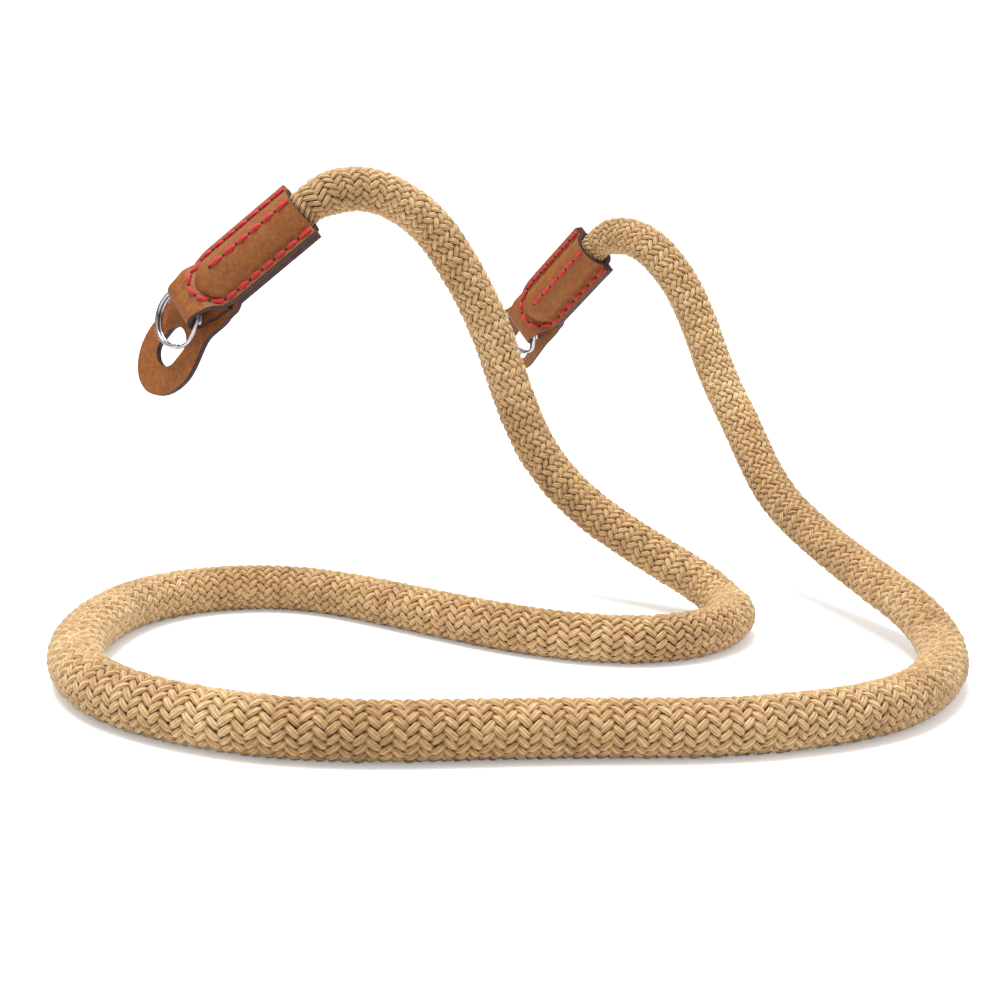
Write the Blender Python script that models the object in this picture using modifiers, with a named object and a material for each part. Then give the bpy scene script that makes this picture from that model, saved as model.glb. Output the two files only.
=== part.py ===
"""Camera neck strap: a round braided rope with a sewn leather end, a split ring and a
round leather guard at each end, lying as it does while both rings are held.

Metres, +Z up. The origin is the lowest point of the left ring, where it hangs on its
lug. +X runs to the right ring, and the rope lies towards -Y on a surface below.
"""
import math

import bmesh
import bpy
import numpy as np
from mathutils import Matrix, Vector

# Where the strap hangs and lies
LUG_SPACING = 0.134
RIGHT_LUG_DROP = 0.002
LUG_HEIGHT = 0.058

# Rope
ROPE_DIAMETER = 0.010
ROPE_SQUEEZED_DIAMETER = 0.0084
ROPE_INSERTION = 0.0215
ROPE_STRAIGHT_BEYOND = 0.0015
ROPE_EASE_LENGTH = 0.008
ROPE_POINT_STEP = 0.0105

# Leather
LEATHER_THICKNESS = 0.0014
LAYER_GAP = 0.0003
POCKET_CLEARANCE = 0.00025
POCKET_FOOT_RADIUS = 0.0019
END_LENGTH = 0.034
END_WIDTH = 0.016
FOLD_WIDTH = 0.0108
SHOULDER_LENGTH = 0.0125
TOE_START = 0.0046
TOE_LENGTH = 0.0076
LOOP_INNER_RADIUS = 0.0016
LOOP_LIFT = 0.0006
LOOP_DEPTH = 0.0029
LOOP_CLOSING = 0.0036
TAIL_LENGTH = 0.0042
TAIL_COVER = 0.003

# Guard, which is the lower part of the back leather
GUARD_WIDTH = 0.0186
GUARD_LENGTH = 0.024
GUARD_ROUND = 0.0115
GUARD_BEND_LENGTH = 0.004
LEFT_GUARD_SHIFT = 0.0018
RIGHT_GUARD_SHIFT = 0.0014
LUG_HOLE_WIDTH = 0.0072
LUG_HOLE_LENGTH = 0.0106

# Split ring
RING_OUTER_DIAMETER = 0.01435
RING_WIRE = 0.00095
RING_COIL_GAP = 0.0001
RING_TOP = 0.002
RING_TILT = math.radians(16.0)
RING_SWING = math.radians(12.0)
RING_JOG = math.radians(60.0)
RING_POINTS = 46

# The two leather ends: where the ring hangs, the directions from the ring to the rope
# and out of the front, and how far the guard leans to one side
ENDS = {
    "left": {
        "lug": (0.0, 0.0, 0.0),
        "along": (0.43, -0.61, 0.67),
        "face": (-0.90, -0.22, 0.38),
        "guard_shift": LEFT_GUARD_SHIFT,
    },
    "right": {
        "lug": (LUG_SPACING, 0.0, -RIGHT_LUG_DROP),
        "along": (-0.10, -0.74, 0.66),
        "face": (-0.99, -0.01, -0.13),
        "guard_shift": -RIGHT_GUARD_SHIFT,
    },
}

# The rope's route between its two leather ends, chosen by hand, in millimetres:
# over the near arch, down to the surface, round three bends and up the far arch
FLOOR_ROPE = -53.0
ROPE_ROUTE = [
    (23, -31, 36.5), (31, -34.5, 37.5), (38.5, -38, 35), (44.5, -42, 30), (48.5, -45.5, 23.5),
    (55, -51.5, 9), (59, -57, -7), (64, -63.5, -23), (69, -75, -35), (73, -88, -42.5),
    (75, -98, -47), (76, -106, -50.5), (73.5, -112.5, FLOOR_ROPE), (67, -118, FLOOR_ROPE),
    (57, -121.5, FLOOR_ROPE), (45, -122, FLOOR_ROPE), (33, -118, FLOOR_ROPE),
    (22.5, -107, FLOOR_ROPE), (17, -92, FLOOR_ROPE), (14.5, -75, FLOOR_ROPE),
    (12.5, -56, FLOOR_ROPE), (7, -38.5, FLOOR_ROPE), (-6, -28.5, FLOOR_ROPE),
    (-24.5, -27, FLOOR_ROPE), (-44, -36, FLOOR_ROPE), (-63, -54.5, FLOOR_ROPE),
    (-71, -73, FLOOR_ROPE), (-70.5, -90, FLOOR_ROPE), (-63, -108.5, FLOOR_ROPE),
    (-51.5, -121.5, FLOOR_ROPE), (-37.5, -133, FLOOR_ROPE), (-23.5, -145, FLOOR_ROPE),
    (-9.5, -157, FLOOR_ROPE), (8, -167, FLOOR_ROPE), (28, -173, FLOOR_ROPE),
    (50, -172, FLOOR_ROPE), (68, -166.5, -52.5), (82, -157, -50), (97, -138, -46),
    (109, -117, -40), (118, -99, -31), (123.5, -86, -17), (125.5, -76, -3.5),
    (125, -68, 12), (123.5, -62.5, 21), (123, -54.5, 28.5), (124.8, -44.5, 32),
]

# Columns across a leather end, as shares of its half width
ACROSS = [0.0, 0.18, 0.36, 0.5, 0.58, 0.66, 0.76, 0.88, 1.0]

ROPE_COLOUR = (0.60, 0.42, 0.23, 1.0)
LEATHER_COLOUR = (0.38, 0.16, 0.06, 1.0)
STEEL_COLOUR = (0.80, 0.80, 0.82, 1.0)


def clear_scene():
    for old in list(bpy.data.objects):
        bpy.data.objects.remove(old, do_unlink=True)


def make_collection(name):
    group = bpy.data.collections.new(name)
    bpy.context.scene.collection.children.link(group)
    return group


def make_material(name, colour, roughness, metallic):
    material = bpy.data.materials.new(name)
    material.use_nodes = True
    shader = material.node_tree.nodes["Principled BSDF"]
    shader.inputs["Base Color"].default_value = colour
    shader.inputs["Roughness"].default_value = roughness
    shader.inputs["Metallic"].default_value = metallic
    return material


def smooth(share):
    share = min(1.0, max(0.0, share))
    return share * share * (3.0 - 2.0 * share)


# Placing of a leather end: X across, Y along to the rope, Z out of the front

def lug_in_end():
    """The ring's lowest point, where the lug holds it, in the leather end's own frame."""
    radius = ring_radius()
    reach = radius * (1.0 + math.cos(RING_SWING))
    return Vector((
        radius * math.sin(RING_SWING),
        RING_TOP - reach * math.cos(RING_TILT),
        ring_top_height() - reach * math.sin(RING_TILT),
    ))


def end_matrix(side):
    end = ENDS[side]
    along = Vector(end["along"]).normalized()
    face = Vector(end["face"])
    face = (face - along * face.dot(along)).normalized()
    across = along.cross(face)
    turn = Matrix((across, along, face)).transposed().to_4x4()
    return Matrix.Translation(Vector(end["lug"])) @ turn @ Matrix.Translation(-lug_in_end())


# Leather surfaces

def pocket_radius():
    return ROPE_SQUEEZED_DIAMETER / 2 + POCKET_CLEARANCE


def pocket_foot():
    """Half width of the pocket where its rounded foot meets the flat flange."""
    span = pocket_radius() + POCKET_FOOT_RADIUS
    return math.sqrt(span ** 2 - (LAYER_GAP / 2 + POCKET_FOOT_RADIUS) ** 2)


def pocket_rise(x, y):
    """How far the leather stands off the flange plane over the rope, at (x, y)."""
    foot = pocket_foot()
    toe_centre = TOE_START + TOE_LENGTH
    lengthwise = max(0.0, toe_centre - y) * foot / TOE_LENGTH
    q = math.hypot(x, lengthwise)
    radius = pocket_radius()
    touch = foot * radius / (radius + POCKET_FOOT_RADIUS)
    if q <= touch:
        return math.sqrt(radius ** 2 - q ** 2) - LAYER_GAP / 2
    if q < foot:
        return POCKET_FOOT_RADIUS - math.sqrt(POCKET_FOOT_RADIUS ** 2 - (foot - q) ** 2)
    return 0.0


def end_width(y):
    """Width of the sewn end: narrow at the fold, full from the shoulders to the mouth."""
    return FOLD_WIDTH + (END_WIDTH - FOLD_WIDTH) * smooth((y + LOOP_INNER_RADIUS) / SHOULDER_LENGTH)


def pocket_rows():
    """Places along the pocket from its toe to the mouth."""
    toe = [TOE_START + TOE_LENGTH * share for share in (0.0, 0.12, 0.25, 0.4, 0.6, 0.8, 1.0)]
    straight = END_LENGTH - toe[-1]
    return toe + [toe[-1] + straight * share for share in (0.2, 0.4, 0.6, 0.8, 1.0)]


def front_path():
    """Inner side of the folded front strip, from its tucked-in tail to the mouth."""
    path = []
    for share in (1.0, 0.7, 0.4, 0.2, 0.0):
        y = LOOP_DEPTH + TAIL_LENGTH * share
        path.append((y, tail_level(y)))
    path.append((LOOP_DEPTH / 2, tail_level(0.0)))
    for step in range(9):
        angle = math.radians(-90.0 - 22.5 * step)
        path.append((LOOP_INNER_RADIUS * math.cos(angle), LOOP_LIFT + LOOP_INNER_RADIUS * math.sin(angle)))
    for y in (LOOP_DEPTH / 2, LOOP_DEPTH, LOOP_DEPTH + 0.0009):
        path.append((y, front_level(y)))
    for y in pocket_rows():
        path.append((y, front_level(y)))
    return path


def front_level(y):
    """Height of the front strip's inner side, from the loop down to the flange."""
    front = LOOP_LIFT + LOOP_INNER_RADIUS
    return front + (LAYER_GAP / 2 - front) * smooth((y - LOOP_DEPTH) / LOOP_CLOSING)


def tail_level(y):
    """Height of the tucked-in tail's inner side, behind the ring and up to the flange."""
    back = LOOP_LIFT - LOOP_INNER_RADIUS
    return back + (-LAYER_GAP / 2 - back) * smooth((y - LOOP_DEPTH) / LOOP_CLOSING)


def back_level(y):
    """Height of the back leather's inner side: behind the tail, then up to the flange."""
    behind_tail = tail_level(y) - LEATHER_THICKNESS - LAYER_GAP
    share = smooth((y - LOOP_DEPTH - TAIL_LENGTH) / TAIL_COVER)
    return behind_tail + (-LAYER_GAP / 2 - behind_tail) * share


def guard_point(distance):
    """Point on the guard's middle line at a distance below the fold, as (y, z)."""
    y = 0.0
    z = back_level(0.0)
    steps = 24
    piece = distance / steps
    for step in range(steps):
        travelled = (step + 0.5) * piece
        angle = RING_TILT * smooth(travelled / GUARD_BEND_LENGTH)
        y -= piece * math.cos(angle)
        z -= piece * math.sin(angle)
    return y, z


def guard_width(distance):
    widening = smooth(distance / (GUARD_LENGTH - GUARD_ROUND))
    width = END_WIDTH + (GUARD_WIDTH - END_WIDTH) * widening
    over = max(0.0, distance - (GUARD_LENGTH - GUARD_ROUND)) / GUARD_ROUND
    return width * math.sqrt(max(0.0, 1.0 - over ** 2))


def guard_shift(side, distance):
    """Sideways offset of the guard's middle line."""
    return ENDS[side]["guard_shift"] * smooth(distance / (GUARD_LENGTH - GUARD_ROUND))


def back_rows(side):
    """Rows of the back leather as (y, z, width, sideways, with the pocket), tip first."""
    rows = []
    for degrees in (84, 76, 67, 57, 45, 30, 15, 0):
        distance = GUARD_LENGTH - GUARD_ROUND + GUARD_ROUND * math.sin(math.radians(degrees))
        rows.append((*guard_point(distance), guard_width(distance), guard_shift(side, distance), False))
    for share in (0.75, 0.5, 0.32, 0.2, 0.1, 0.0):
        distance = (GUARD_LENGTH - GUARD_ROUND) * share
        rows.append((*guard_point(distance), guard_width(distance), guard_shift(side, distance), False))
    rows.append((TOE_START * 0.5, back_level(TOE_START * 0.5), guard_width(0.0), 0.0, False))
    for y in pocket_rows():
        rows.append((y, back_level(y), END_WIDTH, 0.0, True))
    return rows


def make_sheet(name, rows, columns, place, group, material, outward):
    """A grid bent to a surface by place(column, row), thickened by the leather."""
    mesh = bpy.data.meshes.new(name)
    bm = bmesh.new()
    bmesh.ops.create_grid(bm, x_segments=columns - 1, y_segments=rows - 1, size=1.0)
    for vert in bm.verts:
        column = round((vert.co.x + 1.0) / 2.0 * (columns - 1))
        row = round((vert.co.y + 1.0) / 2.0 * (rows - 1))
        vert.co = place(column, row)
    bm.to_mesh(mesh)
    bm.free()
    mesh.materials.append(material)
    mesh.shade_smooth()
    sheet = bpy.data.objects.new(name, mesh)
    group.objects.link(sheet)
    wall = sheet.modifiers.new("Leather thickness", "SOLIDIFY")
    wall.thickness = LEATHER_THICKNESS
    wall.offset = outward
    wall.use_even_offset = True
    return sheet


def across_shares():
    return [-share for share in reversed(ACROSS[1:])] + ACROSS


def make_leather_front(side, group, material):
    path = front_path()
    shares = across_shares()

    def place(column, row):
        y, z = path[row]
        on_front = row >= len(path) - len(pocket_rows())
        x = shares[column] * end_width(y) / 2
        rise = pocket_rise(x, y) if on_front else 0.0
        return Vector((x, y, z + rise))

    sheet = make_sheet(f"{side}_leather_end", len(path), len(shares), place, group, material, 1.0)
    sheet.matrix_world = end_matrix(side)
    return sheet


def make_leather_back(side, group, cutters, material):
    rows = back_rows(side)
    shares = across_shares()

    def place(column, row):
        y, z, width, sideways, pocketed = rows[row]
        x = shares[column] * width / 2 + sideways
        rise = pocket_rise(x, y) if pocketed else 0.0
        return Vector((x, y, z - rise))

    sheet = make_sheet(f"{side}_guard", len(rows), len(shares), place, group, material, -1.0)
    sheet.matrix_world = end_matrix(side)
    hole = sheet.modifiers.new("Lug hole", "BOOLEAN")
    hole.operation = "DIFFERENCE"
    hole.object = make_hole_cutter(side, cutters)
    return sheet


def hole_distance():
    """How far below the fold the lug's hole is centred, along the guard."""
    return -lug_in_end().y / math.cos(RING_TILT)


def make_hole_cutter(side, cutters):
    """A round-ended slot, as a cylinder drawn out along the guard."""
    name = f"{side}_lug_hole_cutter"
    mesh = bpy.data.meshes.new(name)
    bm = bmesh.new()
    bmesh.ops.create_cone(bm, cap_ends=True, segments=24, radius1=LUG_HOLE_WIDTH / 2,
                          radius2=LUG_HOLE_WIDTH / 2, depth=0.01)
    stretch = (LUG_HOLE_LENGTH - LUG_HOLE_WIDTH) / 2
    for vert in bm.verts:
        vert.co.y += stretch if vert.co.y > 0 else -stretch
    bm.to_mesh(mesh)
    bm.free()
    cutter = bpy.data.objects.new(name, mesh)
    cutters.objects.link(cutter)
    y, z = guard_point(hole_distance())
    middle = Vector((lug_in_end().x, y, z))
    lean = Matrix.Rotation(RING_TILT, 4, "X")
    cutter.matrix_world = end_matrix(side) @ Matrix.Translation(middle) @ lean
    cutter.hide_render = True
    cutter.display_type = "WIRE"
    return cutter


# Split ring

def ring_radius():
    return (RING_OUTER_DIAMETER - RING_WIRE) / 2


def ring_top_height():
    """Height of the ring's middle at its top, so that it is centred inside the loop."""
    drop = RING_TOP - (ring_radius() - math.sqrt(ring_radius() ** 2 - (FOLD_WIDTH / 2) ** 2))
    return LOOP_LIFT + (RING_TOP - drop) / 2 * math.tan(RING_TILT)


def ring_centre():
    radius = ring_radius()
    return Vector((
        0.0,
        RING_TOP - radius * math.cos(RING_TILT),
        ring_top_height() - radius * math.sin(RING_TILT),
    ))


def ring_points():
    """Wire of two flat turns that pass from one to the other in a short jog."""
    up = Vector((0.0, math.cos(RING_TILT), math.sin(RING_TILT)))
    side = Vector((1.0, 0.0, 0.0))
    normal = side.cross(up)
    half_step = (RING_WIRE + RING_COIL_GAP) / 2
    start = RING_JOG / 2 + math.radians(2.0)
    finish = 4.0 * math.pi - start
    points = []
    for index in range(RING_POINTS):
        angle = start + (finish - start) * index / (RING_POINTS - 1)
        jog = smooth((angle - 2.0 * math.pi + RING_JOG / 2) / RING_JOG) * 2.0 - 1.0
        spoke = side * math.cos(angle) + up * math.sin(angle)
        points.append(ring_centre() + spoke * ring_radius() + normal * half_step * jog)
    return points


def make_tube(name, points, radii, diameter, resolution, group, material):
    curve = bpy.data.curves.new(name, "CURVE")
    curve.dimensions = "3D"
    curve.bevel_depth = diameter / 2
    curve.bevel_resolution = resolution
    curve.use_fill_caps = True
    spline = curve.splines.new("POLY")
    spline.points.add(len(points) - 1)
    for knot, point, radius in zip(spline.points, points, radii):
        knot.co = (*point, 1.0)
        knot.radius = radius
    curve.materials.append(material)
    tube = bpy.data.objects.new(name, curve)
    group.objects.link(tube)
    return tube


def make_ring(side, group, material):
    points = ring_points()
    ring = make_tube(f"{side}_split_ring", points, [1.0] * len(points), RING_WIRE, 2, group, material)
    ring.matrix_world = end_matrix(side)
    return ring


# Rope

def natural_spline(knots, values, places):
    """Natural cubic spline through the values, read at the places."""
    gaps = np.diff(knots)
    count = len(knots)
    system = np.eye(count)
    right = np.zeros((count, values.shape[1]))
    for i in range(1, count - 1):
        system[i, i - 1] = gaps[i - 1]
        system[i, i] = 2.0 * (gaps[i - 1] + gaps[i])
        system[i, i + 1] = gaps[i]
        right[i] = 6.0 * ((values[i + 1] - values[i]) / gaps[i] - (values[i] - values[i - 1]) / gaps[i - 1])
    bend = np.linalg.solve(system, right)
    slot = np.clip(np.searchsorted(knots, places) - 1, 0, count - 2)
    width = gaps[slot][:, None]
    a = (knots[slot + 1] - places)[:, None] / width
    b = (places - knots[slot])[:, None] / width
    bent = (a ** 3 - a) * bend[slot] + (b ** 3 - b) * bend[slot + 1]
    return a * values[slot] + b * values[slot + 1] + bent * width ** 2 / 6.0


def pocket_run(side):
    """The rope's straight stretch inside a leather end, from its cut end outwards."""
    start = END_LENGTH - ROPE_INSERTION
    matrix = end_matrix(side)
    shares = (0.0, 0.25, 0.5, 0.75, 0.93, 1.13)
    return [matrix @ Vector((0.0, start + ROPE_INSERTION * share, 0.0)) for share in shares]


def rope_points():
    """Points of the rope's middle line: straight inside the leather, even outside it."""
    laid = [Vector(point) * 0.001 for point in ROPE_ROUTE]
    route = pocket_run("left") + laid + list(reversed(pocket_run("right")))
    values = np.array([tuple(point) for point in route])
    knots = np.concatenate([[0.0], np.cumsum(np.linalg.norm(np.diff(values, axis=0), axis=1))])
    fine = natural_spline(knots, values, np.linspace(0.0, knots[-1], 4000))
    lengths = np.concatenate([[0.0], np.cumsum(np.linalg.norm(np.diff(fine, axis=0), axis=1))])
    inside = ROPE_INSERTION + ROPE_STRAIGHT_BEYOND
    free = lengths[-1] - 2.0 * inside
    even = np.linspace(inside, inside + free, int(round(free / ROPE_POINT_STEP)) + 1)
    stations = np.concatenate([[0.0, inside / 2], even, [lengths[-1] - inside / 2, lengths[-1]]])
    points = np.stack([np.interp(stations, lengths, fine[:, axis]) for axis in range(3)], axis=1)
    points[:, 2] = np.maximum(points[:, 2], ROPE_DIAMETER / 2 - LUG_HEIGHT)
    return points, stations


def rope_swelling(distance, length):
    """Share of the full diameter: squeezed inside the leather, full outside it."""
    squeezed = ROPE_SQUEEZED_DIAMETER / ROPE_DIAMETER
    outside = min(distance, length - distance) - ROPE_INSERTION - ROPE_STRAIGHT_BEYOND
    return squeezed + (1.0 - squeezed) * smooth(outside / ROPE_EASE_LENGTH)


def make_rope(group, material):
    points, distances = rope_points()
    radii = [rope_swelling(distance, distances[-1]) for distance in distances]
    return make_tube("rope", points, radii, ROPE_DIAMETER, 3, group, material)


def build():
    clear_scene()
    strap = make_collection("camera_neck_strap")
    cutters = make_collection("cutters")
    make_rope(strap, make_material("braided cotton", ROPE_COLOUR, 0.9, 0.0))
    for side in ENDS:
        end_leather = make_material(f"{side} end leather", LEATHER_COLOUR, 0.5, 0.0)
        guard_leather = make_material(f"{side} guard leather", LEATHER_COLOUR, 0.5, 0.0)
        ring_steel = make_material(f"{side} ring steel", STEEL_COLOUR, 0.15, 1.0)
        make_leather_front(side, strap, end_leather)
        make_leather_back(side, strap, cutters, guard_leather)
        make_ring(side, strap, ring_steel)


build()
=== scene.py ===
"""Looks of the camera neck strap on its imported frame: a braided rope worked strand by
strand, stitched leather ends with guards, and chromed split rings."""
import math

import bmesh
import bpy
import numpy as np
from mathutils import Matrix, Vector
from mathutils.bvhtree import BVHTree


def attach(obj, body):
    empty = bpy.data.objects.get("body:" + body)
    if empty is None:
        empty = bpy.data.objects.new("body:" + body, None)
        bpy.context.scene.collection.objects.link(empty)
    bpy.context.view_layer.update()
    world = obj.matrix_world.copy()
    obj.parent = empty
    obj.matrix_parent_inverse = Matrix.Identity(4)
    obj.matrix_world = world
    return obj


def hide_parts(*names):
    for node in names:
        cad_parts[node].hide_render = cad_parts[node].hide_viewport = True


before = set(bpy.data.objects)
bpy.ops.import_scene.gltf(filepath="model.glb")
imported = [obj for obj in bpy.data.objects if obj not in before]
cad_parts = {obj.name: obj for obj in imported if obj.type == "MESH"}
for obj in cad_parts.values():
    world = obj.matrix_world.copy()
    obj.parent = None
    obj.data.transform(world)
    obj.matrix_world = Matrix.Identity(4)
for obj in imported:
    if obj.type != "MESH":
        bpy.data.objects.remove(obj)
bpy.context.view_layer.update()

MM = 0.001
FLOOR = -0.058

# Rope: where it runs, and its braid
ROPE_DIAMETER = 0.010
SQUEEZED_DIAMETER = 0.0084
ROPE_INSERTION = 0.0215
STRAIGHT_BEYOND = 0.0015
EASE_LENGTH = 0.008
FLOOR_ROPE = -53.0
ROPE_ROUTE = [
    (23, -31, 36.5), (31, -34.5, 37.5), (38.5, -38, 35), (44.5, -42, 30), (48.5, -45.5, 23.5),
    (55, -51.5, 9), (59, -57, -7), (64, -63.5, -23), (69, -75, -35), (73, -88, -42.5),
    (75, -98, -47), (76, -106, -50.5), (73.5, -112.5, FLOOR_ROPE), (67, -118, FLOOR_ROPE),
    (57, -121.5, FLOOR_ROPE), (45, -122, FLOOR_ROPE), (33, -118, FLOOR_ROPE),
    (22.5, -107, FLOOR_ROPE), (17, -92, FLOOR_ROPE), (14.5, -75, FLOOR_ROPE),
    (12.5, -56, FLOOR_ROPE), (7, -38.5, FLOOR_ROPE), (-6, -28.5, FLOOR_ROPE),
    (-24.5, -27, FLOOR_ROPE), (-44, -36, FLOOR_ROPE), (-63, -54.5, FLOOR_ROPE),
    (-71, -73, FLOOR_ROPE), (-70.5, -90, FLOOR_ROPE), (-63, -108.5, FLOOR_ROPE),
    (-51.5, -121.5, FLOOR_ROPE), (-37.5, -133, FLOOR_ROPE), (-23.5, -145, FLOOR_ROPE),
    (-9.5, -157, FLOOR_ROPE), (8, -167, FLOOR_ROPE), (28, -173, FLOOR_ROPE),
    (50, -172, FLOOR_ROPE), (68, -166.5, -52.5), (82, -157, -50), (97, -138, -46),
    (109, -117, -40), (118, -99, -31), (123.5, -86, -17), (125.5, -76, -3.5),
    (125, -68, 12), (123.5, -62.5, 21), (123, -54.5, 28.5), (124.8, -44.5, 32),
]
STRANDS_EACH_WAY = 16
BRAID_PITCH = 0.032
STRAND_CENTRE = 0.00418
STRAND_WAVE = 0.00040
STRAND_HALF_WIDTH = 0.00066
STRAND_HALF_HEIGHT = 0.00050
STRAND_SIDES = 7
STRANDS_A_PIECE = 8
CROSSING_SHARPNESS = 1.9
CORE_RADIUS = 0.0038
CORE_SIDES = 14
ROUGH_SPACING = 6
ROUGH_LIFT = 0.00005
DRIFT_SPACING = 20
DRIFT_ANGLE = 0.014

# Leather ends, as in the frame
THICKNESS = 0.0014
LAYER_GAP = 0.0003
POCKET_CLEARANCE = 0.00025
FOOT_RADIUS = 0.0019
END_LENGTH = 0.034
END_WIDTH = 0.016
FOLD_WIDTH = 0.0108
SHOULDER_LENGTH = 0.0125
TOE_START = 0.0046
TOE_LENGTH = 0.0076
LOOP_RADIUS = 0.0016
LOOP_LIFT = 0.0006
LOOP_DEPTH = 0.0029
LOOP_CLOSING = 0.0036
TAIL_LENGTH = 0.0042
TAIL_COVER = 0.003
GUARD_WIDTH = 0.0186
GUARD_LENGTH = 0.024
GUARD_ROUND = 0.0115
GUARD_BEND = 0.004
FRONT_TOE_START = 0.0034
FRONT_TOE_LENGTH = 0.0058
HOLE_WIDTH = 0.0072
HOLE_LENGTH = 0.0106
HOLE_SIDES = 40
CUTTER_DEPTH = 0.01
SHEET_COLUMNS = 45
EDGE_ROUNDING = 0.00035
PAINT_INSET = 0.0003
PAINT_HALF_WIDTH = 0.00027
PAINT_HALF_HEIGHT = 0.00062
RING_DIAMETER = 0.01435
RING_WIRE = 0.00095
RING_TOP = 0.002
RING_TILT = math.radians(16.0)
RING_SWING = math.radians(12.0)
RING_TURN_GAP = 0.0001
RING_JOG = math.radians(60.0)
RING_END_GAP = math.radians(2.0)
RING_END_THINNING = 0.76
RING_POINTS = 180
RING_SIDES = 14
ENDS = {
    "left": {"lug": (0, 0, 0), "along": (0.43, -0.61, 0.67), "face": (-0.90, -0.22, 0.38), "shift": 0.0018},
    "right": {"lug": (0.134, 0, -0.002), "along": (-0.10, -0.74, 0.66), "face": (-0.99, -0.01, -0.13),
              "shift": -0.0014},
}

# Stitches
SEAM_STITCHES = 19
RIDGE_STITCHES = 6
STITCH_GAP = 0.00045
THREAD_RADIUS = 0.0005
HOLE_RADIUS = 0.0004
U_HALF_WIDTH = 0.0068
U_ROUNDNESS = 1.12
U_BOTTOM = 0.0028
RIDGE_START = 0.0104
SEAM_END = END_LENGTH - 0.0005

# View
PHOTO_WIDTH_PX = 1001
PHOTO_FOCAL_PX = 1435.16
SENSOR_WIDTH = 36.0
VIEW_YAW, VIEW_PITCH, VIEW_ROLL = 0.911, 0.159, 0.055
VIEW_PLACE = (-0.21678, -0.26984, 0.02088)

# Stage and light
FLOOR_REACH = 60.0
LIGHT_TARGET = (0.03, -0.08, -0.03)
KEY_LIGHT = {"place": (-0.14, -0.04, 0.78), "power": 7.6, "size": 0.42}
FILL_LIGHT = {"place": (0.5, -0.6, 0.3), "power": 0.25, "size": 0.4}
SKY_LOW, SKY_HIGH = 0.09, 0.78


def smooth(share):
    share = np.clip(share, 0.0, 1.0)
    return share * share * (3.0 - 2.0 * share)


# View, at the photograph's angle

def make_camera():
    ahead, aside, reach = math.cos(VIEW_YAW), math.sin(VIEW_YAW), math.cos(VIEW_PITCH)
    forward = Vector((aside * reach, ahead * reach, -math.sin(VIEW_PITCH)))
    level = Vector((math.cos(VIEW_YAW), -math.sin(VIEW_YAW), 0.0))
    upright = level.cross(forward)
    right = math.cos(VIEW_ROLL) * level + math.sin(VIEW_ROLL) * upright
    up = -math.sin(VIEW_ROLL) * level + math.cos(VIEW_ROLL) * upright
    place = Matrix((right, up, -forward)).transposed().to_4x4()
    place.translation = Vector(VIEW_PLACE)
    camera = bpy.data.objects.new("camera", bpy.data.cameras.new("camera"))
    bpy.context.scene.collection.objects.link(camera)
    camera.matrix_world = place
    camera.data.sensor_width = SENSOR_WIDTH
    camera.data.lens = PHOTO_FOCAL_PX / PHOTO_WIDTH_PX * SENSOR_WIDTH
    camera.data.clip_start = 0.005
    bpy.context.scene.camera = camera


# Shaders

class Nodes:
    """A material's node tree, built line by line."""

    def __init__(self, name):
        self.material = bpy.data.materials.new(name)
        self.material.use_nodes = True
        self.tree = self.material.node_tree
        self.shader = self.tree.nodes["Principled BSDF"]

    def add(self, kind, settings=(), **inputs):
        node = self.tree.nodes.new(kind)
        for key, value in dict(settings).items():
            setattr(node, key, value)
        for key, value in inputs.items():
            self.feed(node.inputs[key.replace("_", " ")], value)
        return node

    def feed(self, socket, value):
        if isinstance(value, bpy.types.NodeSocket):
            self.tree.links.new(value, socket)
        else:
            socket.default_value = value

    def set(self, **inputs):
        for key, value in inputs.items():
            self.feed(self.shader.inputs[key.replace("_", " ")], value)

    def ramp(self, value, stops):
        node = self.add("ShaderNodeValToRGB")
        self.feed(node.inputs[0], value)
        ramp = node.color_ramp
        while len(ramp.elements) < len(stops):
            ramp.elements.new(0.5)
        for element, (position, colour) in zip(ramp.elements, stops):
            element.position = position
            element.color = (*colour, 1.0)
        return node.outputs[0]

    def maths(self, operation, a, b=0.0):
        node = self.tree.nodes.new("ShaderNodeMath")
        node.operation = operation
        self.feed(node.inputs[0], a)
        self.feed(node.inputs[1], b)
        return node.outputs[0]

    def spread(self, value, start, end, low, high):
        """A value that goes from low to high while the given one goes from start to end."""
        node = self.add("ShaderNodeMapRange", Value=value)
        for socket, number in (("From Min", start), ("From Max", end), ("To Min", low), ("To Max", high)):
            node.inputs[socket].default_value = number
        return node.outputs[0]

    def noise(self, vector, scale, detail=3.0, roughness=0.55):
        node = self.tree.nodes.new("ShaderNodeTexNoise")
        self.feed(node.inputs["Vector"], vector)
        self.feed(node.inputs["Scale"], scale)
        self.feed(node.inputs["Detail"], detail)
        self.feed(node.inputs["Roughness"], roughness)
        return node.outputs["Fac"]

    def blend(self, share, a, b, mode="MIX"):
        node = self.tree.nodes.new("ShaderNodeMix")
        node.data_type = "RGBA"
        node.blend_type = mode
        self.feed(node.inputs[0], share)
        self.feed(node.inputs[6], a)
        self.feed(node.inputs[7], b)
        return node.outputs[2]

    def bump(self, height, distance, strength=1.0, before=None):
        node = self.tree.nodes.new("ShaderNodeBump")
        self.feed(node.inputs["Height"], height)
        node.inputs["Distance"].default_value = distance
        node.inputs["Strength"].default_value = strength
        if before is not None:
            self.feed(node.inputs["Normal"], before)
        return node.outputs["Normal"]

    def place(self, scale=(1.0, 1.0, 1.0), uv=False):
        source = self.tree.nodes.new("ShaderNodeTexCoord").outputs["UV" if uv else "Object"]
        node = self.tree.nodes.new("ShaderNodeMapping")
        self.feed(node.inputs["Vector"], source)
        node.inputs["Scale"].default_value = scale
        return node.outputs["Vector"]


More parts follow.
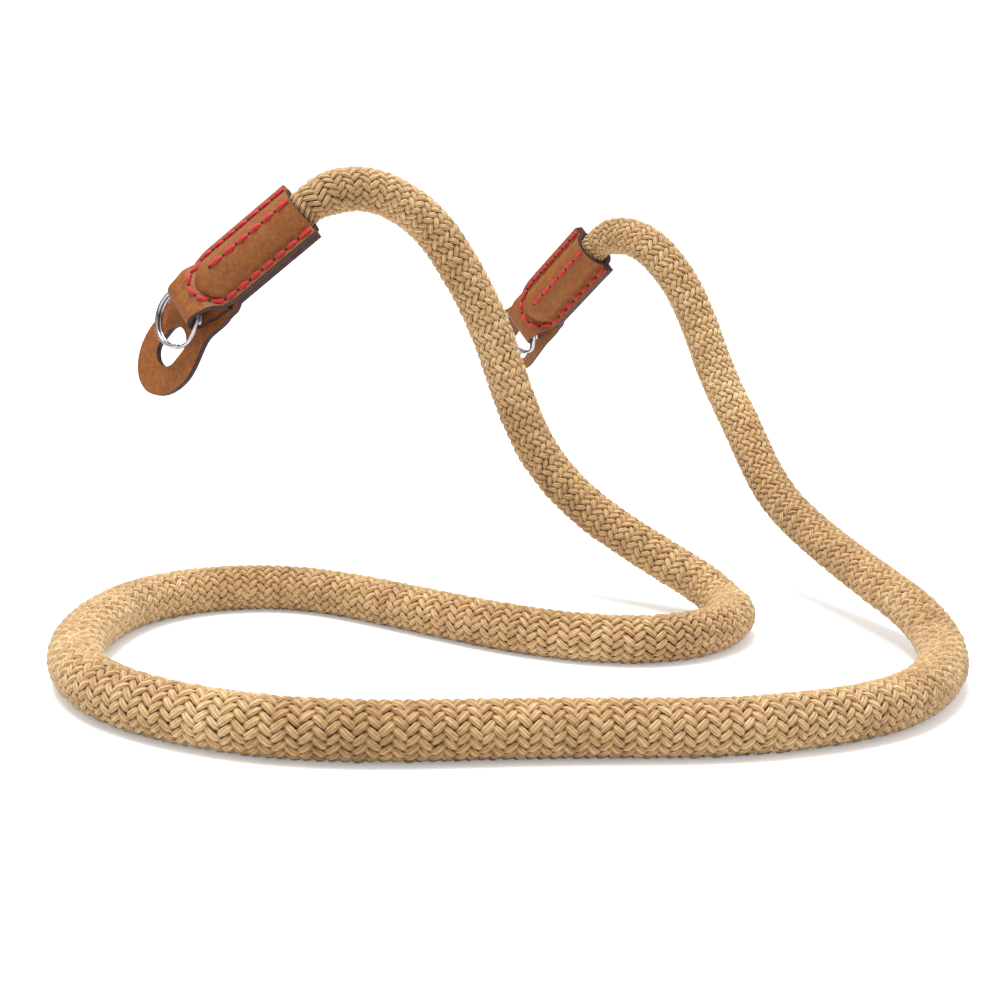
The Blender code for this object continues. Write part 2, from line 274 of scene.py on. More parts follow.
def cotton_material():
    n = Nodes("braided_cotton")
    spot = n.place()
    along = n.place((1.0, 1.0, 1.0), uv=True)
    fibres = n.noise(n.place((0.55, 9.0, 1.0), uv=True), 1.0, 2.0, 0.6)
    plies = n.add("ShaderNodeTexWave", {"wave_type": "BANDS", "bands_direction": "Y"}, Vector=along,
                  Scale=0.95, Distortion=0.6, Detail=2.0).outputs["Fac"]
    mottle = n.noise(spot, 420.0, 4.0, 0.6)
    broad = n.noise(spot, 45.0, 2.0, 0.5)
    tone = n.maths("ADD", n.maths("MULTIPLY", mottle, 0.55), n.maths("MULTIPLY", broad, 0.45))
    colour = n.ramp(tone, [(0.30, (0.44, 0.26, 0.11)), (0.46, (0.66, 0.43, 0.205)),
                           (0.58, (0.82, 0.575, 0.30)), (0.74, (0.97, 0.79, 0.50))])
    lined = n.ramp(fibres, [(0.30, (0.66, 0.62, 0.56)), (0.62, (1.0, 1.0, 1.0))])
    colour = n.blend(0.75, colour, lined, "MULTIPLY")
    yarns = n.ramp(plies, [(0.05, (0.60, 0.53, 0.46)), (0.45, (1.0, 1.0, 1.0))])
    colour = n.blend(0.8, colour, yarns, "MULTIPLY")
    # Painted shade: the strands darken the lower each vertex lies, so the gaps between strands read as
    # shaded.
    lifted = n.add("ShaderNodeAttribute", {"attribute_name": "strand_height"}).outputs["Fac"]
    gaps = n.ramp(lifted, [(0.42, (0.13, 0.07, 0.035)), (0.60, (0.38, 0.25, 0.15)),
                           (0.76, (0.80, 0.70, 0.58)), (0.87, (1.0, 1.0, 1.0))])
    colour = n.blend(1.0, colour, gaps, "MULTIPLY")
    height = n.maths("ADD", n.maths("MULTIPLY", plies, 0.8), fibres)
    n.set(Base_Color=colour, Roughness=0.86, Normal=n.bump(height, 0.00012, 0.8))
    n.set(Sheen_Weight=0.35, Sheen_Roughness=0.45, Specular_IOR_Level=0.25)
    return n.material


def core_shade_material():
    n = Nodes("rope_core")
    tone = n.noise(n.place(), 600.0)
    # Painted shade: the core's dark brown stands in for the shade seen between the strands; the rope does
    # have a core there.
    colour = n.ramp(tone, [(0.3, (0.09, 0.045, 0.018)), (0.7, (0.20, 0.115, 0.05))])
    n.set(Base_Color=colour, Roughness=0.95, Normal=n.bump(tone, 0.0002))
    return n.material


def leather_material():
    n = Nodes("brown_leather")
    spot = n.place()
    cells = n.add("ShaderNodeTexVoronoi", {"feature": "DISTANCE_TO_EDGE"}, Vector=spot, Scale=1500.0)
    grain = cells.outputs[0]
    fine = n.noise(spot, 2600.0, 4.0, 0.65)
    cloud = n.noise(spot, 210.0, 4.0, 0.6)
    speck = n.noise(spot, 900.0, 3.0, 0.7)
    tone = n.maths("ADD", n.maths("MULTIPLY", cloud, 0.22), n.maths("MULTIPLY", speck, 0.78))
    colour = n.ramp(tone, [(0.25, (0.208, 0.062, 0.014)), (0.50, (0.300, 0.099, 0.021)),
                           (0.75, (0.400, 0.154, 0.036))])
    pores = n.ramp(grain, [(0.0, (0.72, 0.66, 0.62)), (0.12, (1.0, 1.0, 1.0))])
    colour = n.blend(0.6, colour, pores, "MULTIPLY")
    pebbles = n.maths("MULTIPLY", n.maths("MINIMUM", grain, 0.15), 3.0)
    height = n.maths("ADD", pebbles, n.maths("MULTIPLY", fine, 0.8))
    rough = n.spread(cloud, 0.0, 1.0, 0.46, 0.62)
    n.set(Base_Color=colour, Roughness=rough, Normal=n.bump(height, 0.00009, 0.8))
    n.set(Specular_IOR_Level=0.3)
    return n.material


def edge_material():
    n = Nodes("painted_edge")
    tone = n.noise(n.place(), 700.0, 3.0)
    colour = n.ramp(tone, [(0.3, (0.030, 0.012, 0.011)), (0.7, (0.072, 0.030, 0.026))])
    n.set(Base_Color=colour, Roughness=0.6, Normal=n.bump(tone, 0.00012, 0.6))
    n.set(Specular_IOR_Level=0.3)
    return n.material


def thread_material():
    n = Nodes("red_thread")
    twist = n.add("ShaderNodeTexWave", {"wave_type": "BANDS", "bands_direction": "DIAGONAL"},
                  Vector=n.place((1.0, 1.0, 1.0), uv=True), Scale=1.6, Distortion=0.5).outputs["Fac"]
    colour = n.ramp(twist, [(0.0, (0.36, 0.006, 0.010)), (0.6, (0.64, 0.015, 0.017))])
    n.set(Base_Color=colour, Roughness=0.5, Normal=n.bump(twist, 0.00006, 0.7))
    n.set(Sheen_Weight=0.2, Specular_IOR_Level=0.4)
    return n.material


def hole_shade_material():
    n = Nodes("stitch_hole_shade")
    tone = n.noise(n.place(), 900.0)
    # Painted shade: the near-black disc colour stands in for the shade inside each stitch hole.
    colour = n.ramp(tone, [(0.3, (0.02, 0.006, 0.004)), (0.7, (0.045, 0.014, 0.008))])
    n.set(Base_Color=colour, Roughness=0.9)
    return n.material


def chrome_material():
    n = Nodes("ring_chrome")
    scuff = n.noise(n.place(), 1200.0, 3.0)
    n.set(Base_Color=(0.52, 0.52, 0.55, 1.0), Metallic=1.0, Roughness=n.spread(scuff, 0.0, 1.0, 0.18, 0.26),
          Normal=n.bump(scuff, 0.000004, 0.2))
    return n.material


# Meshes

def mesh_object(name, vertices, faces, material, uvs=None, nodes=()):
    mesh = bpy.data.meshes.new(name)
    mesh.from_pydata([tuple(v) for v in vertices], [], faces)
    mesh.materials.append(material)
    if uvs is not None:
        layer = mesh.uv_layers.new(name="UVMap")
        index = np.zeros(len(mesh.loops), dtype=np.int32)
        mesh.loops.foreach_get("vertex_index", index)
        layer.data.foreach_set("uv", np.asarray(uvs)[index].ravel())
    mesh.shade_smooth()
    mesh.update()
    piece = bpy.data.objects.new(name, mesh)
    bpy.context.scene.collection.objects.link(piece)
    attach(piece, "root")
    if nodes:
        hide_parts(*nodes)
    return piece


def sweep(centres, across, outward, half_widths, half_heights, sides):
    """A closed tube of elliptic rings with both ends filled, as vertices, faces and uvs."""
    count = len(centres)
    angles = np.linspace(0.0, 2.0 * math.pi, sides, endpoint=False)
    ring = (centres[:, None, :]
            + (np.cos(angles)[None, :, None] * half_widths[:, None, None]) * across[:, None, :]
            + (np.sin(angles)[None, :, None] * half_heights[:, None, None]) * outward[:, None, :])
    vertices = np.concatenate([ring.reshape(-1, 3), centres[:1], centres[-1:]])
    i = np.arange(count - 1)[:, None] * sides
    j = np.arange(sides)[None, :]
    k = (j + 1) % sides
    quads = np.stack([i + j, i + k, i + sides + k, i + sides + j], axis=-1).reshape(-1, 4)
    first, last = count * sides, count * sides + 1
    base = (count - 1) * sides
    caps = [(first, (s + 1) % sides, s) for s in range(sides)]
    caps += [(last, base + s, base + (s + 1) % sides) for s in range(sides)]
    steps = np.concatenate([[0.0], np.cumsum(np.linalg.norm(np.diff(centres, axis=0), axis=1))]) / MM
    u = np.repeat(steps, sides)
    v = np.tile(np.minimum(np.arange(sides), sides - np.arange(sides)) / sides * 2.0, count)
    uvs = np.concatenate([np.stack([u, v], axis=1), [[steps[0], 0.5]], [[steps[-1], 0.5]]])
    return vertices, quads, caps, uvs


def joined(parts):
    """Several swept tubes as one mesh's vertices, faces and uvs."""
    vertices, faces, uvs, offset = [], [], [], 0
    for points, quads, caps, uv in parts:
        vertices.append(points)
        uvs.append(uv)
        faces.extend((quads + offset).tolist())
        faces.extend([tuple(c + offset for c in cap) for cap in caps])
        offset += len(points)
    return np.concatenate(vertices), faces, np.concatenate(uvs)


# Leather end frame

def ring_radius():
    return (RING_DIAMETER - RING_WIRE) / 2


def ring_top_height():
    drop = RING_TOP - (ring_radius() - math.sqrt(ring_radius() ** 2 - (FOLD_WIDTH / 2) ** 2))
    return LOOP_LIFT + (RING_TOP - drop) / 2 * math.tan(RING_TILT)


def lug_in_end():
    reach = ring_radius() * (1.0 + math.cos(RING_SWING))
    return Vector((ring_radius() * math.sin(RING_SWING), RING_TOP - reach * math.cos(RING_TILT),
                   ring_top_height() - reach * math.sin(RING_TILT)))


def end_matrix(side):
    along = Vector(ENDS[side]["along"]).normalized()
    face = Vector(ENDS[side]["face"])
    face = (face - along * face.dot(along)).normalized()
    turn = Matrix((along.cross(face), along, face)).transposed().to_4x4()
    return Matrix.Translation(Vector(ENDS[side]["lug"])) @ turn @ Matrix.Translation(-lug_in_end())


# Rope

def natural_spline(knots, values, places):
    gaps = np.diff(knots)
    count = len(knots)
    system = np.eye(count)
    right = np.zeros((count, values.shape[1]))
    for i in range(1, count - 1):
        system[i, i - 1:i + 2] = gaps[i - 1], 2.0 * (gaps[i - 1] + gaps[i]), gaps[i]
        right[i] = 6.0 * ((values[i + 1] - values[i]) / gaps[i] - (values[i] - values[i - 1]) / gaps[i - 1])
    bend = np.linalg.solve(system, right)
    slot = np.clip(np.searchsorted(knots, places) - 1, 0, count - 2)
    width = gaps[slot][:, None]
    a = (knots[slot + 1] - places)[:, None] / width
    b = (places - knots[slot])[:, None] / width
    bent = (a ** 3 - a) * bend[slot] + (b ** 3 - b) * bend[slot + 1]
    return a * values[slot] + b * values[slot + 1] + bent * width ** 2 / 6.0


def pocket_run(side):
    start = END_LENGTH - ROPE_INSERTION
    shares = (0.0, 0.25, 0.5, 0.75, 0.93, 1.13)
    return [end_matrix(side) @ Vector((0.0, start + ROPE_INSERTION * share, 0.0)) for share in shares]


def rope_line(step):
    """Points a step apart along the rope's middle line, with the distance of each."""
    laid = [Vector(point) * MM for point in ROPE_ROUTE]
    route = pocket_run("left") + laid + list(reversed(pocket_run("right")))
    values = np.array([tuple(point) for point in route])
    knots = np.concatenate([[0.0], np.cumsum(np.linalg.norm(np.diff(values, axis=0), axis=1))])
    fine = natural_spline(knots, values, np.linspace(0.0, knots[-1], 6000))
    fine[:, 2] = np.maximum(fine[:, 2], FLOOR + ROPE_DIAMETER / 2)
    lengths = np.concatenate([[0.0], np.cumsum(np.linalg.norm(np.diff(fine, axis=0), axis=1))])
    distances = np.linspace(0.0, lengths[-1], int(lengths[-1] / step) + 1)
    return np.stack([np.interp(distances, lengths, fine[:, axis]) for axis in range(3)], axis=1), distances


def swelling(distances):
    squeezed = SQUEEZED_DIAMETER / ROPE_DIAMETER
    outside = np.minimum(distances, distances[-1] - distances) - ROPE_INSERTION - STRAIGHT_BEYOND
    return squeezed + (1.0 - squeezed) * smooth(outside / EASE_LENGTH)


def unit(vectors):
    return vectors / np.linalg.norm(vectors, axis=1, keepdims=True)


def steady_frames(points):
    """Two directions across the line at each point, turning as little as they can."""
    tangents = unit(np.gradient(points, axis=0))
    first = np.zeros_like(points)
    start = np.cross(tangents[0], (0.3, 0.5, 0.8))
    first[0] = start / np.linalg.norm(start)
    for i in range(1, len(points)):
        carried = first[i - 1] - tangents[i] * first[i - 1].dot(tangents[i])
        first[i] = carried / np.linalg.norm(carried)
    return first, np.cross(tangents, first)


def wander(random, count, spacing, amount):
    """An uneven value for each of count points, drawn anew every few points and smooth between."""
    knots = random.normal(0.0, amount, count // spacing + 2)
    return np.interp(np.arange(count) / spacing, np.arange(len(knots)), knots)


def strand(line, u, v, distances, grown, random, turn_way, index):
    """One strand of the braid as a swept tube, with how high each of its vertices lies, for the painted
    shade in the gaps.
    """
    level = distances * 2 * STRANDS_EACH_WAY / BRAID_PITCH
    crossing = np.cos(math.pi * (level - 0.5) / 2.0)
    over = turn_way * np.tanh(CROSSING_SHARPNESS * crossing) / np.tanh(CROSSING_SHARPNESS)
    rough = wander(random, len(distances), ROUGH_SPACING, 1.0)
    drift = wander(random, len(distances), DRIFT_SPACING, DRIFT_ANGLE)
    angle = 2 * math.pi * (index / STRANDS_EACH_WAY + turn_way * distances / BRAID_PITCH) + drift
    radial = np.cos(angle)[:, None] * u + np.sin(angle)[:, None] * v
    radius = (STRAND_CENTRE + STRAND_WAVE * over + ROUGH_LIFT * rough) * grown
    centres = line + radial * radius[:, None]
    across = unit(np.cross(unit(np.gradient(centres, axis=0)), radial))
    wide = STRAND_HALF_WIDTH * (0.93 + 0.09 * over + 0.04 * rough) * grown
    high = STRAND_HALF_HEIGHT * (1.0 + 0.04 * over) * grown
    tube = sweep(centres, across, radial, wide, high, STRAND_SIDES)
    rings = tube[0][:-2].reshape(len(line), STRAND_SIDES, 3)
    lifted = np.linalg.norm(rings - line[:, None, :], axis=2) / grown[:, None] - STRAND_CENTRE
    height = (lifted / (STRAND_WAVE + STRAND_HALF_HEIGHT) + 1.0) / 2.0
    return tube, np.append(height, (0.0, 0.0))


def make_rope():
    line, distances = rope_line(BRAID_PITCH / (2 * STRANDS_EACH_WAY) / 2.0)
    grown = swelling(distances)
    u, v = steady_frames(line)
    core_radius = CORE_RADIUS * grown[::2]
    points, faces, uvs = joined([sweep(line[::2], u[::2], v[::2], core_radius, core_radius, CORE_SIDES)])
    core = mesh_object("rope_core", points, faces, core_shade_material(), uvs, ("rope",))
    cotton = cotton_material()
    random = np.random.default_rng(7)
    strands = [strand(line, u, v, distances, grown, random, turn_way, index)
               for turn_way in (1.0, -1.0) for index in range(STRANDS_EACH_WAY)]
    for group in range(len(strands) // STRANDS_A_PIECE):
        tubes, heights = zip(*strands[group * STRANDS_A_PIECE:(group + 1) * STRANDS_A_PIECE])
        points, faces, uvs = joined(tubes)
        piece = mesh_object(f"rope_strands_{group + 1}", points, faces, cotton, uvs, ("rope",))
        # Each vertex's height, which the cotton turns into painted shade in the gaps between strands.
        lift = piece.data.attributes.new("strand_height", "FLOAT", "POINT")
        lift.data.foreach_set("value", np.concatenate(heights).astype(np.float32))


# Leather

def pocket_rise(x, y, toe_start=TOE_START, toe_length=TOE_LENGTH):
    radius = SQUEEZED_DIAMETER / 2 + POCKET_CLEARANCE
    foot = math.sqrt((radius + FOOT_RADIUS) ** 2 - (LAYER_GAP / 2 + FOOT_RADIUS) ** 2)
    lengthwise = max(0.0, toe_start + toe_length - y) * foot / toe_length
    q = math.hypot(x, lengthwise)
    if q <= foot * radius / (radius + FOOT_RADIUS):
        return math.sqrt(radius ** 2 - q ** 2) - LAYER_GAP / 2
    if q < foot:
        return FOOT_RADIUS - math.sqrt(FOOT_RADIUS ** 2 - (foot - q) ** 2)
    return 0.0


def end_width(y):
    return FOLD_WIDTH + (END_WIDTH - FOLD_WIDTH) * smooth((y + LOOP_RADIUS) / SHOULDER_LENGTH)


def front_level(y):
    front = LOOP_LIFT + LOOP_RADIUS
    return front + (LAYER_GAP / 2 - front) * smooth((y - LOOP_DEPTH) / LOOP_CLOSING)


def tail_level(y):
    back = LOOP_LIFT - LOOP_RADIUS
    return back + (-LAYER_GAP / 2 - back) * smooth((y - LOOP_DEPTH) / LOOP_CLOSING)


def back_level(y):
    behind_tail = tail_level(y) - THICKNESS - LAYER_GAP
    return behind_tail + (-LAYER_GAP / 2 - behind_tail) * smooth((y - LOOP_DEPTH - TAIL_LENGTH) / TAIL_COVER)


def guard_point(distance):
    y, z, steps = 0.0, back_level(0.0), 24
    for step in range(steps):
        angle = RING_TILT * smooth((step + 0.5) * distance / steps / GUARD_BEND)
        y -= distance / steps * math.cos(angle)
        z -= distance / steps * math.sin(angle)
    return y, z


def guard_width(distance):
    widening = smooth(distance / (GUARD_LENGTH - GUARD_ROUND))
    width = END_WIDTH + (GUARD_WIDTH - END_WIDTH) * widening
    over = max(0.0, distance - (GUARD_LENGTH - GUARD_ROUND)) / GUARD_ROUND
    return width * math.sqrt(max(0.0, 1.0 - over ** 2))


def leather_sheet(name, rows, place, outward, side, leather, edge, nodes):
    """A fine grid of the leather's inner side, thickened, with painted edges."""
    columns = SHEET_COLUMNS
    matrix = end_matrix(side)
    shares = [column / (columns - 1) * 2.0 - 1.0 for column in range(columns)]
    vertices = [matrix @ place(row, share) for row in rows for share in shares]
    faces = [(r * columns + c, r * columns + c + 1, (r + 1) * columns + c + 1, (r + 1) * columns + c)
             for r in range(len(rows) - 1) for c in range(columns - 1)]
    sheet = mesh_object(name, vertices, faces, leather, None, nodes)
    sheet.data.materials.append(edge)
    wall = sheet.modifiers.new("wall", "SOLIDIFY")
    wall.thickness = THICKNESS
    wall.offset = outward
    wall.use_even_offset = True
    wall.material_offset_rim = 1
    return sheet


def applied(piece):
    """Applies a piece's modifiers to its mesh."""
    graph = bpy.context.evaluated_depsgraph_get()
    mesh = bpy.data.meshes.new_from_object(piece.evaluated_get(graph))
    piece.modifiers.clear()
    piece.data = mesh
    return piece


def soften_edges(piece):
    bevel = piece.modifiers.new("edge", "BEVEL")
    bevel.width = EDGE_ROUNDING
    bevel.segments = 3
    bevel.limit_method = "ANGLE"
    bevel.angle_limit = math.radians(50.0)
    bevel.material = 1
    applied(piece)
    piece.data.shade_smooth()


def make_front(side, leather, edge):
    path = []
    for y in np.linspace(LOOP_DEPTH + TAIL_LENGTH, LOOP_DEPTH, 12):
        path.append((y, tail_level(y), False))
    path.append((LOOP_DEPTH / 2, tail_level(0.0), False))
    for angle in np.radians(np.linspace(-90.0, -270.0, 21)):
        path.append((LOOP_RADIUS * math.cos(angle), LOOP_LIFT + LOOP_RADIUS * math.sin(angle), False))
    for y in np.linspace(LOOP_DEPTH / 3, END_LENGTH, 76):
        path.append((y, front_level(y), True))

    def place(row, share):
        y, z, fronted = row
        x = share * end_width(y) / 2
        rise = pocket_rise(x, y, FRONT_TOE_START, FRONT_TOE_LENGTH) if fronted else 0.0
        return Vector((x, y, z + rise))

    sheet = leather_sheet(f"{side}_leather_front", path, place, 1.0, side, leather, edge,
                          (f"{side}_leather_end",))
    applied(sheet)
    soften_edges(sheet)
    return sheet


def make_back(side, leather, edge):
    rows = []
    for degrees in (86, 82, 78, 73, 68, 62, 55, 47, 38, 28, 16, 6, 0):
        distance = GUARD_LENGTH - GUARD_ROUND + GUARD_ROUND * math.sin(math.radians(degrees))
        rows.append((*guard_point(distance), distance, False))
    for share in np.linspace(0.94, 0.0, 18):
        distance = (GUARD_LENGTH - GUARD_ROUND) * share
        rows.append((*guard_point(distance), distance, False))
    for y in np.linspace(0.8 * MM, END_LENGTH, 62):
        rows.append((y, back_level(y), 0.0, True))

    def place(row, share):
        y, z, distance, pocketed = row
        width = END_WIDTH if pocketed else guard_width(distance)
        shifting = smooth(distance / (GUARD_LENGTH - GUARD_ROUND))
        shift = 0.0 if pocketed else ENDS[side]["shift"] * shifting
        x = share * width / 2 + shift
        return Vector((x, y, z - (pocket_rise(x, y) if pocketed else 0.0)))

    sheet = leather_sheet(f"{side}_leather_back", rows, place, -1.0, side, leather, edge, (f"{side}_guard",))
    applied(sheet)
    cutter = hole_cutter(side, edge)
    cut = sheet.modifiers.new("hole", "BOOLEAN")
    cut.operation = "DIFFERENCE"
    cut.object = cutter
    applied(sheet)
    bpy.data.objects.remove(cutter, do_unlink=True)
    soften_edges(sheet)
    return sheet


def hole_cutter(side, edge):
    mesh = bpy.data.meshes.new("hole_cutter")
    bm = bmesh.new()
    radius = HOLE_WIDTH / 2
    bmesh.ops.create_cone(bm, cap_ends=True, segments=HOLE_SIDES, radius1=radius, radius2=radius,
                          depth=CUTTER_DEPTH)
    stretch = (HOLE_LENGTH - HOLE_WIDTH) / 2
    for vert in bm.verts:
        vert.co.y += stretch if vert.co.y > 0 else -stretch
    bm.to_mesh(mesh)
    bm.free()
    mesh.materials.append(edge)
    cutter = bpy.data.objects.new("hole_cutter", mesh)
    bpy.context.scene.collection.objects.link(cutter)
    y, z = guard_point(-lug_in_end().y / math.cos(RING_TILT))
    middle = Matrix.Translation(Vector((lug_in_end().x, y, z)))
    cutter.matrix_world = end_matrix(side) @ middle @ Matrix.Rotation(RING_TILT, 4, "X")
    bpy.context.view_layer.update()
    return cutter


def make_edge_paint(side, edge):
    """The paint that closes both long edges between the front and back leather."""
    rows = np.linspace(LOOP_DEPTH + TAIL_LENGTH + TAIL_COVER, END_LENGTH - PAINT_INSET, 30)
    matrix = end_matrix(side)
    turn = matrix.to_3x3()
    lines = []
    for way in (-1.0, 1.0):
        places = [Vector((way * (end_width(y) / 2 - PAINT_INSET), y, 0.0)) for y in rows]
        centres = np.array([tuple(matrix @ place) for place in places])
        across = np.array([tuple(turn @ Vector((1.0, 0.0, 0.0)))] * len(rows))
        outward = np.array([tuple(turn @ Vector((0.0, 0.0, 1.0)))] * len(rows))
        size = np.ones(len(rows))
        lines.append(sweep(centres, across, outward, PAINT_HALF_WIDTH * size, PAINT_HALF_HEIGHT * size, 10))
    points, faces, uvs = joined(lines)
    mesh_object(f"{side}_edge_paint", points, faces, edge, uvs)


# Stitches

def seam_points():
    """The U-shaped seam in the end's own frame, as a dense line from mouth to mouth."""
    radius, depth = U_HALF_WIDTH, U_HALF_WIDTH * U_ROUNDNESS
    centre = U_BOTTOM + depth
    left = [(-radius, y) for y in np.linspace(SEAM_END, centre, 60)]
    toe = [(-radius * math.cos(a), centre - depth * math.sin(a)) for a in np.linspace(0, math.pi, 50)]
    right = [(radius, y) for y in np.linspace(centre, SEAM_END, 60)]
    return np.array(left + toe[1:-1] + right)


def ridge_points():
    """The short seam along the top of the dome."""
    return np.array([(0.0, y) for y in np.linspace(RIDGE_START, SEAM_END, 80)])


def surface_finder(side, sheet, facing):
    """A function that gives the leather's face and its normal over a place in the end's frame."""
    tree = BVHTree.FromObject(sheet, bpy.context.evaluated_depsgraph_get())
    matrix = end_matrix(side)
    face = (matrix.to_3x3() @ Vector((0.0, 0.0, facing))).normalized()

    def surface(x, y):
        spot, normal = tree.ray_cast(matrix @ Vector((x, y, 0.02 * facing)), -face)[:2]
        return spot, normal if normal.dot(face) > 0 else -normal

    return surface


def stitch_tube(spots, at_start, at_end):
    """One stitch over places on the leather. It dips at its holes, but not where a seam ends."""
    shares = np.linspace(0.0, 1.0, len(spots))
    centres, outward = [], []
    for share, (spot, normal) in zip(shares, spots):
        flat = (at_start and share < 0.5) or (at_end and share > 0.5)
        bulge = 0.5 if flat else 1.35 * math.sqrt(max(0.0, math.sin(math.pi * share))) - 0.80
        centres.append(tuple(spot + normal * (THREAD_RADIUS * bulge)))
        outward.append(tuple(normal))
    centres, outward = np.array(centres), unit(np.array(outward))
    across = unit(np.cross(np.gradient(centres, axis=0), outward))
    plump = np.sqrt(np.sin(math.pi * np.linspace(0.02, 0.98, len(spots))))
    size = THREAD_RADIUS * (0.66 + 0.36 * plump)
    return sweep(centres, across, outward, size * 1.12, size * 0.9, 8)


def hole_shade_disc(spot, normal):
    """A low dark disc, let into the leather, that reads as a hole: painted shade in place of the hole's
    recess.
    """
    sideways = normal.orthogonal().normalized()
    centres = np.array([tuple(spot + normal * height) for height in (-0.0003, 0.00003, 0.00006)])
    outward = np.array([tuple(sideways)] * 3)
    across = np.array([tuple(normal.cross(sideways))] * 3)
    size = HOLE_RADIUS * np.array([1.0, 1.0, 0.65])
    return sweep(centres, across, outward, size, size, 10)


def make_stitches(name, surface, line, count, thread, hole, start_hole=False):
    """Thread stitches along a line on the leather, with dark discs between them as painted shade of the
    holes.
    """
    lengths = np.concatenate([[0.0], np.cumsum(np.linalg.norm(np.diff(line, axis=0), axis=1))])
    marks = np.linspace(0.0, lengths[-1], count + 1)

    def spot_at(distance):
        x, y = (float(np.interp(distance, lengths, line[:, axis])) for axis in (0, 1))
        return surface(x, y)

    tubes, holes = [], []
    for number in range(count):
        at_start, at_end = number == 0, number == count - 1
        low = marks[number] + (0.0 if at_start else STITCH_GAP / 2)
        high = marks[number + 1] - (0.0 if at_end else STITCH_GAP / 2)
        spots = [spot_at(low + (high - low) * share) for share in np.linspace(0.0, 1.0, 11)]
        tubes.append(stitch_tube(spots, at_start, at_end))
        if not at_end:
            holes.append(hole_shade_disc(*spot_at(marks[number + 1])))
        if at_start and start_hole:
            holes.append(hole_shade_disc(*surface(line[0, 0], line[0, 1] - HOLE_RADIUS)))
    points, faces, uvs = joined(tubes)
    mesh_object(name, points, faces, thread, uvs)
    points, faces, uvs = joined(holes)
    mesh_object(f"{name}_holes", points, faces, hole, uvs)


# Rings

def make_ring(side, chrome):
    up = Vector((0.0, math.cos(RING_TILT), math.sin(RING_TILT)))
    sideways = Vector((1.0, 0.0, 0.0))
    normal = sideways.cross(up)
    centre = Vector((0.0, RING_TOP, ring_top_height())) - up * ring_radius()
    half_step = (RING_WIRE + RING_TURN_GAP) / 2
    start = RING_JOG / 2 + RING_END_GAP
    angles = np.linspace(start, 4.0 * math.pi - start, RING_POINTS)
    jogs = smooth((angles - 2.0 * math.pi + RING_JOG / 2) / RING_JOG) * 2.0 - 1.0
    matrix = end_matrix(side)
    centres, spokes = [], []
    for angle, jog in zip(angles, jogs):
        spoke = sideways * math.cos(angle) + up * math.sin(angle)
        centres.append(tuple(matrix @ (centre + spoke * ring_radius() + normal * half_step * float(jog))))
        spokes.append(tuple(matrix.to_3x3() @ spoke))
    centres, spokes = np.array(centres), np.array(spokes)
    across = unit(np.cross(unit(np.gradient(centres, axis=0)), spokes))
    size = np.full(len(centres), RING_WIRE / 2)
    size[0] = size[-1] = RING_WIRE / 2 * RING_END_THINNING
    points, faces, uvs = joined([sweep(centres, across, spokes, size, size, RING_SIDES)])
    mesh_object(f"{side}_ring_wire", points, faces, chrome, uvs, (f"{side}_split_ring",))


# Stage and light

def make_floor():
    """A white floor that glows for the camera, more far out than near the strap: painted light that keeps it
    white far out while it shows soft shadows near the strap.
    """
    mesh = bpy.data.meshes.new("floor")
    corners = [(-FLOOR_REACH, -FLOOR_REACH), (FLOOR_REACH, -FLOOR_REACH), (FLOOR_REACH, FLOOR_REACH),
               (-FLOOR_REACH, FLOOR_REACH)]
    mesh.from_pydata([(x, y, FLOOR) for x, y in corners], [], [(0, 1, 2, 3)])
    floor = bpy.data.objects.new("floor", mesh)
    bpy.context.scene.collection.objects.link(floor)
    n = Nodes("floor_white")
    n.set(Base_Color=(0.92, 0.92, 0.92, 1.0), Roughness=0.9, Specular_IOR_Level=0.1)
    seen = n.tree.nodes.new("ShaderNodeLightPath").outputs["Is Camera Ray"]
    reach = n.tree.nodes.new("ShaderNodeVectorMath")
    reach.operation = "LENGTH"
    n.feed(reach.inputs[0], n.place())
    glow = n.spread(reach.outputs["Value"], 0.25, 0.9, 0.30, 0.75)
    n.set(Emission_Color=(1.0, 1.0, 1.0, 1.0), Emission_Strength=n.maths("MULTIPLY", seen, glow))
    mesh.materials.append(n.material)


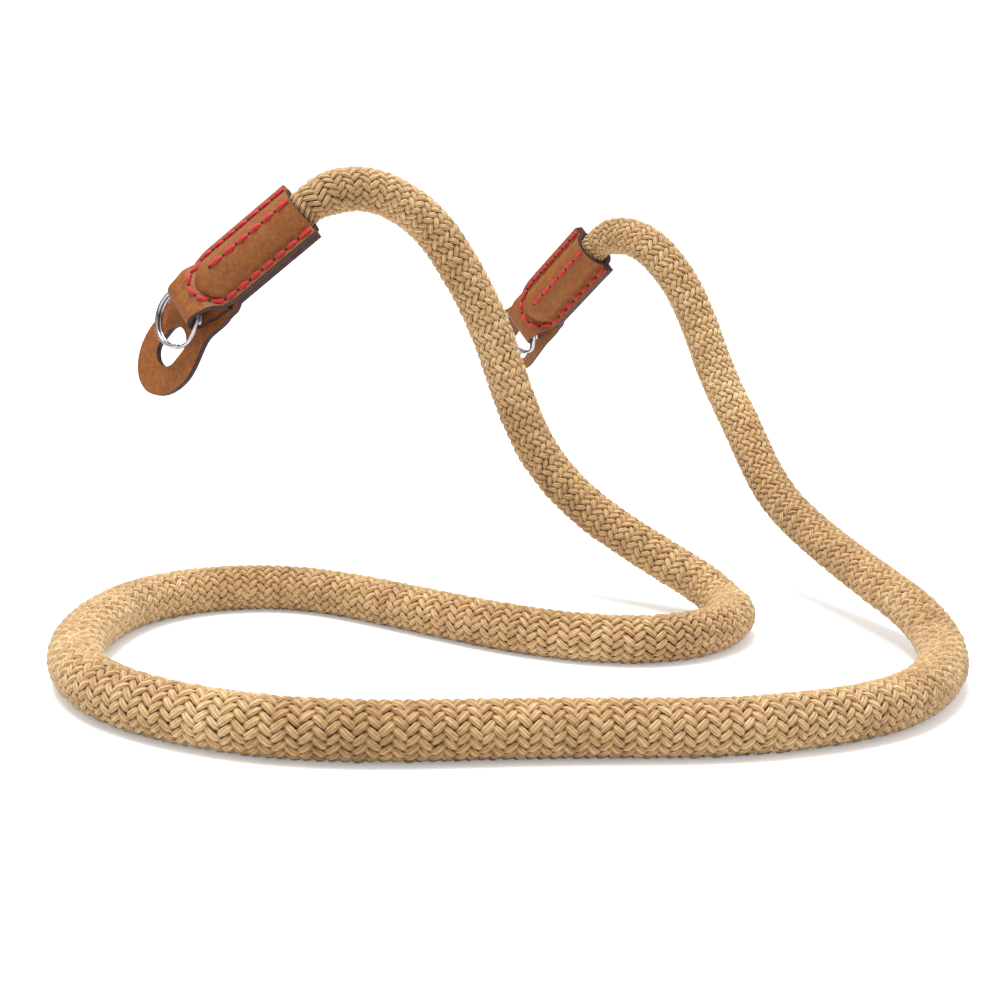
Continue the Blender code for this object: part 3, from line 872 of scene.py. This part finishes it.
def make_sky():
    """A white surround that lights the strap more from above than from the sides."""
    world = bpy.data.worlds.new("studio")
    bpy.context.scene.world = world
    world.use_nodes = True
    tree = world.node_tree
    background = tree.nodes["Background"]
    path = tree.nodes.new("ShaderNodeLightPath")
    mix = tree.nodes.new("ShaderNodeMix")
    way = tree.nodes.new("ShaderNodeSeparateXYZ")
    tree.links.new(tree.nodes.new("ShaderNodeTexCoord").outputs["Generated"], way.inputs[0])
    sky = tree.nodes.new("ShaderNodeMapRange")
    sky.interpolation_type = "SMOOTHSTEP"
    tree.links.new(way.outputs["Z"], sky.inputs["Value"])
    for socket, value in (("From Min", 0.10), ("From Max", 0.55), ("To Min", SKY_LOW), ("To Max", SKY_HIGH)):
        sky.inputs[socket].default_value = value
    tree.links.new(sky.outputs[0], mix.inputs[2])
    mix.inputs[3].default_value = 1.05
    tree.links.new(path.outputs["Is Camera Ray"], mix.inputs[0])
    tree.links.new(mix.outputs[0], background.inputs["Strength"])
    background.inputs["Color"].default_value = (1.0, 1.0, 1.0, 1.0)


def make_light(name, place, power, size):
    lamp = bpy.data.lights.new(name, "AREA")
    lamp.energy = power
    lamp.size = size
    light = bpy.data.objects.new(name, lamp)
    bpy.context.scene.collection.objects.link(light)
    light.location = place
    light.rotation_mode = "QUATERNION"
    light.rotation_quaternion = (Vector(LIGHT_TARGET) - Vector(place)).to_track_quat("-Z", "Y")


def make_end(side, brown, painted, red, hole_shade, chromed):
    """One sewn leather end with its guard, stitches and split ring."""
    front = make_front(side, brown, painted)
    back = make_back(side, brown, painted)
    front_face = surface_finder(side, front, 1.0)
    back_face = surface_finder(side, back, -1.0)
    make_stitches(f"{side}_front_seam", front_face, seam_points(), SEAM_STITCHES, red, hole_shade)
    make_stitches(f"{side}_front_ridge", front_face, ridge_points(), RIDGE_STITCHES, red, hole_shade,
                  start_hole=True)
    make_stitches(f"{side}_back_seam", back_face, seam_points(), SEAM_STITCHES, red, hole_shade)
    make_edge_paint(side, painted)
    make_ring(side, chromed)


make_camera()
make_rope()
finishes = (leather_material(), edge_material(), thread_material(), hole_shade_material(), chrome_material())
for side in ENDS:
    make_end(side, *finishes)
make_floor()
make_sky()
make_light("key", **KEY_LIGHT)
make_light("fill", **FILL_LIGHT)
bpy.context.scene.view_settings.view_transform = "Standard"
